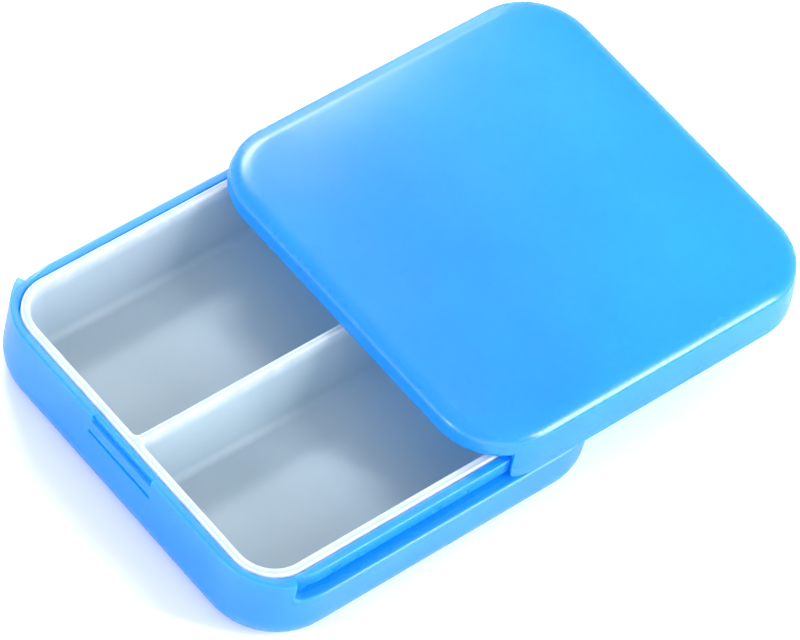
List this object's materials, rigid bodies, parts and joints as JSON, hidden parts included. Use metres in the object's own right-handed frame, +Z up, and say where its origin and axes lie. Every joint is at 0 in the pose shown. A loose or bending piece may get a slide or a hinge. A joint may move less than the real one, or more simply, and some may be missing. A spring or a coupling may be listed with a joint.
{
  "type": "pill box",
  "caption": "Square pocket pill box with rounded corners: an open base, a tray with compartments, and a lid that slides off sideways.",
  "frame": {"origin": "centre of the base's flat resting face", "axes": "+X is the way the lid slides open, +Z is up, and the tray's divider runs along X"},
  "size_m": [0.0984, 0.062, 0.0176],
  "materials": {
    "blue_shell": "polished moulded plastic, slightly translucent",
    "white_tray": "satin moulded plastic"
  },
  "bodies": {
    "box": {"base": "blue_shell", "tray": "white_tray"},
    "sliding_lid": {"lid": "blue_shell"}
  },
  "joints": [
    {"name": "lid_slide", "type": "slide", "parent": "box", "child": "sliding_lid", "axis": [1, 0, 0], "range_m": [-0.0364, 0]}
  ]
}
